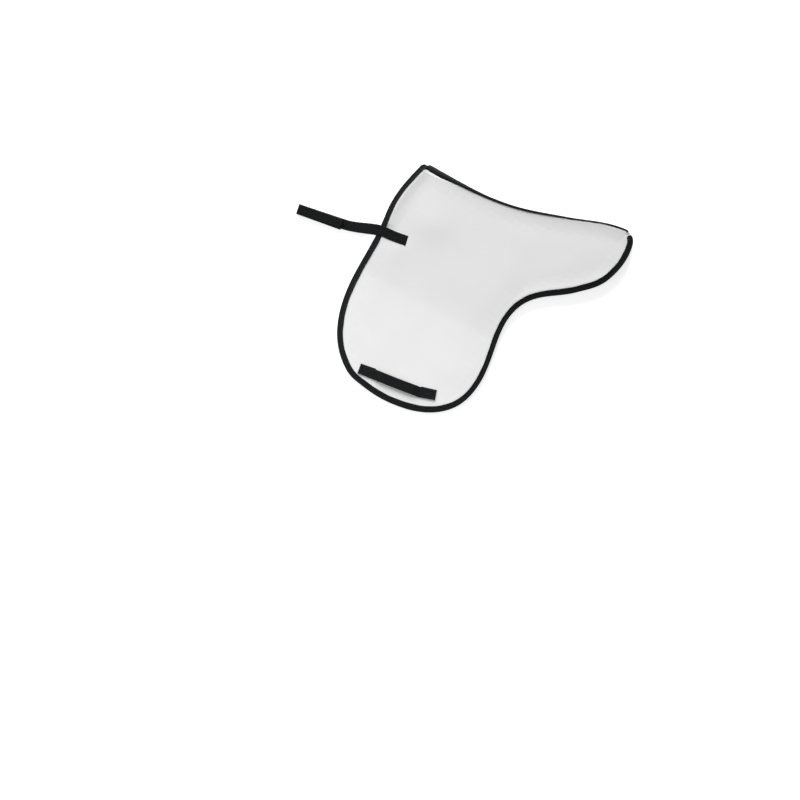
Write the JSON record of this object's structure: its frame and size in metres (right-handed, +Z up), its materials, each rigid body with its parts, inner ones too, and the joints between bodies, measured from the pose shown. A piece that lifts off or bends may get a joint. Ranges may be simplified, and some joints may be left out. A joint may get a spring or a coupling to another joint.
{
  "type": "dressage saddle pad",
  "caption": "Contoured saddle pad folded along its spine, with foam laminate halves, tape binding, girth keepers and hook-and-loop front straps.",
  "frame": {"origin": "centre of the folded pad's footprint, on the surface it lies on", "axes": "+X along the spine towards the cantle end, +Y from the hem towards the spine, +Z up from the surface"},
  "size_m": [0.8002, 0.582, 0.0303],
  "materials": {
    "white_laminated_jersey": "matt, finely knitted face of the laminate",
    "white_lining_fabric": "matt, smooth knit",
    "grey_foam": "soft closed-cell foam, hidden inside",
    "black_binding_tape": "ribbed tape, slightly dull",
    "black_webbing": "woven webbing, dull sheen",
    "black_hook_and_loop": "napped, no sheen"
  },
  "bodies": {
    "right_half": {"right_outer_cover": "white_laminated_jersey", "right_foam_core": "grey_foam", "right_lining": "white_lining_fabric", "right_binding": "black_binding_tape", "right_girth_keeper": "black_webbing", "right_strap_anchor": "black_webbing"},
    "spine": {"spine_tape": "black_binding_tape"},
    "left_half": {"left_outer_cover": "white_laminated_jersey", "left_foam_core": "grey_foam", "left_lining": "white_lining_fabric", "left_binding": "black_binding_tape", "left_girth_keeper": "black_webbing", "left_strap_anchor": "black_webbing"},
    "left_strap": {"left_front_strap": "black_webbing", "left_strap_fold": "black_webbing", "left_loop_strip": "black_hook_and_loop"},
    "left_tail": {"left_hook_strip": "black_hook_and_loop", "left_strap_tail": "black_webbing"},
    "right_strap": {"right_front_strap": "black_webbing", "right_strap_fold": "black_webbing", "right_loop_strip": "black_hook_and_loop"},
    "right_tail": {"right_hook_strip": "black_hook_and_loop", "right_strap_tail": "black_webbing"}
  },
  "joints": [
    {"name": "right_half_fold", "type": "hinge", "parent": "right_half", "child": "spine", "pos_m": [0.10759, 0.29135, 0.01015], "axis": [-1, 0, 0], "range_deg": [0, 55], "deforming": ["spine_tape"]},
    {"name": "left_half_fold", "type": "hinge", "parent": "spine", "child": "left_half", "pos_m": [0.10759, 0.29135, 0.02015], "axis": [-1, 0, 0], "range_deg": [0, 55], "deforming": ["spine_tape"]},
    {"name": "left_strap_flex", "type": "hinge", "parent": "left_half", "child": "left_strap", "pos_m": [-0.19706, 0.09805, 0.02411], "axis": [0, 1, 0], "range_deg": [0, 120]},
    {"name": "left_tail_open", "type": "hinge", "parent": "left_strap", "child": "left_tail", "pos_m": [-0.39696, 0.08805, 0.00915], "axis": [0, -1, 0], "range_deg": [0, 180], "deforming": ["left_strap_fold"]},
    {"name": "right_strap_flex", "type": "hinge", "parent": "right_half", "child": "right_strap", "pos_m": [-0.19706, 0.09805, 0], "axis": [0, -1, 0], "range_deg": [0, 120]},
    {"name": "right_tail_open", "type": "hinge", "parent": "right_strap", "child": "right_tail", "pos_m": [-0.39696, 0.08805, 0.00295], "axis": [0, 1, 0], "range_deg": [0, 180], "deforming": ["right_strap_fold"]}
  ]
}
